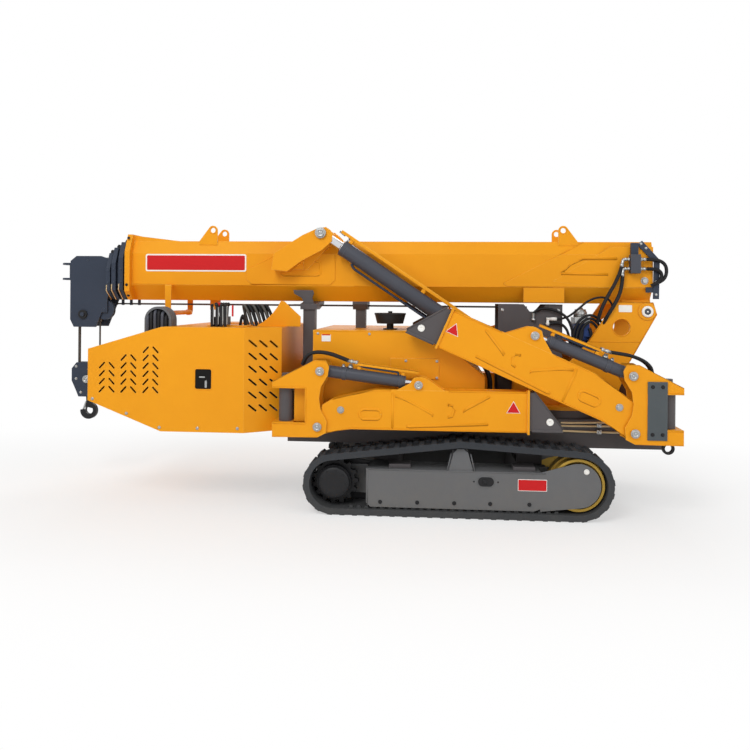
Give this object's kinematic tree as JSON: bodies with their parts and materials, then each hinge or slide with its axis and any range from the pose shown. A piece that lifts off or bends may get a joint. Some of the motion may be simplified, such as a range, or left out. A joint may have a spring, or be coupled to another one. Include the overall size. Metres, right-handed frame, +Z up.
{
  "type": "crawler crane",
  "caption": "Compact tracked crane with folding outriggers, telescopic boom, twin lift cylinders, winch and hook block, stowed for travel.",
  "frame": {"origin": "centre of the bounding box in plan, on the ground under the tracks", "axes": "+X towards the turret end, -X towards the boom head and engine cover, +Z up; the pictured side faces -Y"},
  "size_m": [4.7, 1.5, 2.061],
  "materials": {
    "yellow": "satin paint",
    "dark_frame": "satin paint",
    "slate": "satin paint",
    "grey_frame": "matt paint",
    "gold": "satin paint",
    "rubber": "matt",
    "black": "satin",
    "chrome": "polished",
    "steel": "machined",
    "rope": "wire rope",
    "engine": "cast",
    "blue": "satin paint"
  },
  "bodies": {
    "carrier": {"track_near": "rubber", "track_far": "rubber", "track_frame_near": "grey_frame", "track_frame_far": "grey_frame", "sprockets": "gold", "idlers": "gold", "chassis": "dark_frame", "engine_block": "engine", "engine_cover": "yellow", "hood": "yellow", "boom_rests": "dark_frame", "air_cleaner": "black", "valve_bank": "steel", "hose_guard": "black", "slew_ring": "dark_frame"},
    "upper": {"turret": "yellow", "slew_drive": "blue", "winch_frame": "dark_frame"},
    "winch": {"winch_drum": "steel"},
    "boom": {"boom_1": "yellow"},
    "section_2": {"boom_2": "dark_frame"},
    "section_3": {"boom_3": "dark_frame"},
    "section_4": {"boom_4": "dark_frame"},
    "section_5": {"boom_5": "dark_frame", "boom_head": "slate", "head_sheaves": "black"},
    "hook_body": {"hoist_falls": "rope", "hook_block": "dark_frame", "hook": "black"},
    "lift_barrels": {"lift_barrels": "dark_frame"},
    "lift_rods": {"lift_rods": "chrome"},
    "outrigger_1_bracket": {"outrigger_1_bracket": "yellow"},
    "outrigger_1_leg": {"outrigger_1_leg": "yellow"},
    "outrigger_1_leg_inner": {"outrigger_1_leg_inner": "dark_frame"},
    "outrigger_1_cylinder": {"outrigger_1_cylinder": "dark_frame"},
    "outrigger_1_cylinder_rod": {"outrigger_1_cylinder_rod": "chrome"},
    "outrigger_2_bracket": {"outrigger_2_bracket": "yellow"},
    "outrigger_2_leg": {"outrigger_2_leg": "yellow"},
    "outrigger_2_leg_inner": {"outrigger_2_leg_inner": "dark_frame"},
    "outrigger_2_cylinder": {"outrigger_2_cylinder": "dark_frame"},
    "outrigger_2_cylinder_rod": {"outrigger_2_cylinder_rod": "chrome"},
    "outrigger_3_bracket": {"outrigger_3_bracket": "yellow"},
    "outrigger_3_leg": {"outrigger_3_leg": "yellow"},
    "outrigger_3_leg_inner": {"outrigger_3_leg_inner": "dark_frame"},
    "outrigger_3_cylinder": {"outrigger_3_cylinder": "dark_frame"},
    "outrigger_3_cylinder_rod": {"outrigger_3_cylinder_rod": "chrome"},
    "outrigger_4_bracket": {"outrigger_4_bracket": "yellow"},
    "outrigger_4_leg": {"outrigger_4_leg": "yellow"},
    "outrigger_4_leg_inner": {"outrigger_4_leg_inner": "dark_frame"},
    "outrigger_4_cylinder": {"outrigger_4_cylinder": "dark_frame"},
    "outrigger_4_cylinder_rod": {"outrigger_4_cylinder_rod": "chrome"}
  },
  "joints": [
    {"name": "slew", "type": "hinge", "parent": "carrier", "child": "upper", "pos_m": [1.65, 0, 0.67], "axis": [0, 0, 1], "range_deg": [0, 180]},
    {"name": "boom_lift", "type": "hinge", "parent": "upper", "child": "boom", "pos_m": [2.241, 0, 1.419], "axis": [0, 1, 0], "range_deg": [0, 78]},
    {"name": "telescope", "type": "slide", "parent": "boom", "child": "section_2", "axis": [-1, 0, 0], "range_m": [0, 2.8]},
    {"name": "winch_turn", "type": "hinge", "parent": "upper", "child": "winch", "pos_m": [1.33, 0, 1.16], "axis": [0, 1, 0], "continuous": true},
    {"name": "section_3_slide", "type": "slide", "parent": "section_2", "child": "section_3", "axis": [-1, 0, 0], "range_m": [0, 2.8]},
    {"name": "section_4_slide", "type": "slide", "parent": "section_3", "child": "section_4", "axis": [-1, 0, 0], "range_m": [0, 2.8]},
    {"name": "section_5_slide", "type": "slide", "parent": "section_4", "child": "section_5", "axis": [-1, 0, 0], "range_m": [0, 2.8]},
    {"name": "hook_hang", "type": "hinge", "parent": "section_5", "child": "hook_body", "pos_m": [-2.135, 0, 1.355], "axis": [0, 1, 0], "range_deg": [-78, 0]},
    {"name": "lift_barrel_tilt", "type": "hinge", "parent": "upper", "child": "lift_barrels", "pos_m": [1.311, 0, 0.987], "axis": [0, 1, 0], "range_deg": [0, 74.76]},
    {"name": "lift_rod_slide", "type": "slide", "parent": "lift_barrels", "child": "lift_rods", "axis": [-0.8304, 0, 0.5571], "range_m": [0, 1.284]},
    {"name": "outrigger_1_swing", "type": "hinge", "parent": "carrier", "child": "outrigger_1_bracket", "pos_m": [2.27, -0.64, 0.79], "axis": [0, 0, 1], "range_deg": [0, 135]},
    {"name": "outrigger_1_lower", "type": "hinge", "parent": "outrigger_1_bracket", "child": "outrigger_1_leg", "pos_m": [2.03, -0.64, 0.603], "axis": [0, -1, 0], "range_deg": [0, 37.5]},
    {"name": "outrigger_1_extend", "type": "slide", "parent": "outrigger_1_leg", "child": "outrigger_1_leg_inner", "axis": [-0.9171, 0, 0.3987], "range_m": [0, 0.7]},
    {"name": "outrigger_1_cylinder_tilt", "type": "hinge", "parent": "outrigger_1_bracket", "child": "outrigger_1_cylinder", "pos_m": [2.015, -0.64, 0.99], "axis": [0, -1, 0], "range_deg": [0, 39]},
    {"name": "outrigger_1_rod_slide", "type": "slide", "parent": "outrigger_1_cylinder", "child": "outrigger_1_cylinder_rod", "axis": [-0.9274, 0, 0.374], "range_m": [0, 0.249]},
    {"name": "outrigger_2_swing", "type": "hinge", "parent": "carrier", "child": "outrigger_2_bracket", "pos_m": [2.27, 0.64, 0.79], "axis": [0, 0, -1], "range_deg": [0, 135]},
    {"name": "outrigger_2_lower", "type": "hinge", "parent": "outrigger_2_bracket", "child": "outrigger_2_leg", "pos_m": [2.03, 0.64, 0.603], "axis": [0, -1, 0], "range_deg": [0, 37.5]},
    {"name": "outrigger_2_extend", "type": "slide", "parent": "outrigger_2_leg", "child": "outrigger_2_leg_inner", "axis": [-0.9171, 0, 0.3987], "range_m": [0, 0.7]},
    {"name": "outrigger_2_cylinder_tilt", "type": "hinge", "parent": "outrigger_2_bracket", "child": "outrigger_2_cylinder", "pos_m": [2.015, 0.64, 0.99], "axis": [0, -1, 0], "range_deg": [0, 39]},
    {"name": "outrigger_2_rod_slide", "type": "slide", "parent": "outrigger_2_cylinder", "child": "outrigger_2_cylinder_rod", "axis": [-0.9274, 0, 0.374], "range_m": [0, 0.249]},
    {"name": "outrigger_3_swing", "type": "hinge", "parent": "carrier", "child": "outrigger_3_bracket", "pos_m": [-0.37, -0.64, 0.79], "axis": [0, 0, -1], "range_deg": [0, 135]},
    {"name": "outrigger_3_lower", "type": "hinge", "parent": "outrigger_3_bracket", "child": "outrigger_3_leg", "pos_m": [-0.13, -0.64, 0.603], "axis": [0, 1, 0], "range_deg": [0, 14]},
    {"name": "outrigger_3_extend", "type": "slide", "parent": "outrigger_3_leg", "child": "outrigger_3_leg_inner", "axis": [1, 0, 0], "range_m": [0, 0.7]},
    {"name": "outrigger_3_cylinder_tilt", "type": "hinge", "parent": "outrigger_3_bracket", "child": "outrigger_3_cylinder", "pos_m": [-0.115, -0.64, 0.99], "axis": [0, 1, 0], "range_deg": [0, 12.66]},
    {"name": "outrigger_3_rod_slide", "type": "slide", "parent": "outrigger_3_cylinder", "child": "outrigger_3_cylinder_rod", "axis": [0.9921, 0, -0.1258], "range_m": [0, 0.0936]},
    {"name": "outrigger_4_swing", "type": "hinge", "parent": "carrier", "child": "outrigger_4_bracket", "pos_m": [-0.37, 0.64, 0.79], "axis": [0, 0, 1], "range_deg": [0, 135]},
    {"name": "outrigger_4_lower", "type": "hinge", "parent": "outrigger_4_bracket", "child": "outrigger_4_leg", "pos_m": [-0.13, 0.64, 0.603], "axis": [0, 1, 0], "range_deg": [0, 14]},
    {"name": "outrigger_4_extend", "type": "slide", "parent": "outrigger_4_leg", "child": "outrigger_4_leg_inner", "axis": [1, 0, 0], "range_m": [0, 0.7]},
    {"name": "outrigger_4_cylinder_tilt", "type": "hinge", "parent": "outrigger_4_bracket", "child": "outrigger_4_cylinder", "pos_m": [-0.115, 0.64, 0.99], "axis": [0, 1, 0], "range_deg": [0, 12.66]},
    {"name": "outrigger_4_rod_slide", "type": "slide", "parent": "outrigger_4_cylinder", "child": "outrigger_4_cylinder_rod", "axis": [0.9921, 0, -0.1258], "range_m": [0, 0.0936]}
  ],
  "couplings": [
    {"joint": "section_3_slide", "follows": "telescope", "ratio": 1},
    {"joint": "section_4_slide", "follows": "telescope", "ratio": 1},
    {"joint": "section_5_slide", "follows": "telescope", "ratio": 1},
    {"joint": "hook_hang", "follows": "boom_lift", "ratio": -1},
    {"joint": "lift_barrel_tilt", "follows": "boom_lift", "ratio": 0.95832},
    {"joint": "lift_rod_slide", "follows": "boom_lift", "m_per_rad": 0.94295},
    {"joint": "outrigger_1_swing", "follows": "slew", "ratio": 0.74999},
    {"joint": "outrigger_1_lower", "follows": "slew", "ratio": 0.20833},
    {"joint": "outrigger_1_extend", "follows": "slew", "m_per_rad": 0.22282},
    {"joint": "outrigger_1_cylinder_tilt", "follows": "slew", "ratio": 0.21611},
    {"joint": "outrigger_1_rod_slide", "follows": "slew", "m_per_rad": 0.07894},
    {"joint": "outrigger_2_swing", "follows": "slew", "ratio": 0.74999},
    {"joint": "outrigger_2_lower", "follows": "slew", "ratio": 0.20833},
    {"joint": "outrigger_2_extend", "follows": "slew", "m_per_rad": 0.22282},
    {"joint": "outrigger_2_cylinder_tilt", "follows": "slew", "ratio": 0.21611},
    {"joint": "outrigger_2_rod_slide", "follows": "slew", "m_per_rad": 0.07894},
    {"joint": "outrigger_3_swing", "follows": "slew", "ratio": 0.74999},
    {"joint": "outrigger_3_lower", "follows": "slew", "ratio": 0.077777},
    {"joint": "outrigger_3_extend", "follows": "slew", "m_per_rad": 0.22282},
    {"joint": "outrigger_3_cylinder_tilt", "follows": "slew", "ratio": 0.069777},
    {"joint": "outrigger_3_rod_slide", "follows": "slew", "m_per_rad": 0.029475},
    {"joint": "outrigger_4_swing", "follows": "slew", "ratio": 0.74999},
    {"joint": "outrigger_4_lower", "follows": "slew", "ratio": 0.077777},
    {"joint": "outrigger_4_extend", "follows": "slew", "m_per_rad": 0.22282},
    {"joint": "outrigger_4_cylinder_tilt", "follows": "slew", "ratio": 0.069777},
    {"joint": "outrigger_4_rod_slide", "follows": "slew", "m_per_rad": 0.029475}
  ]
}
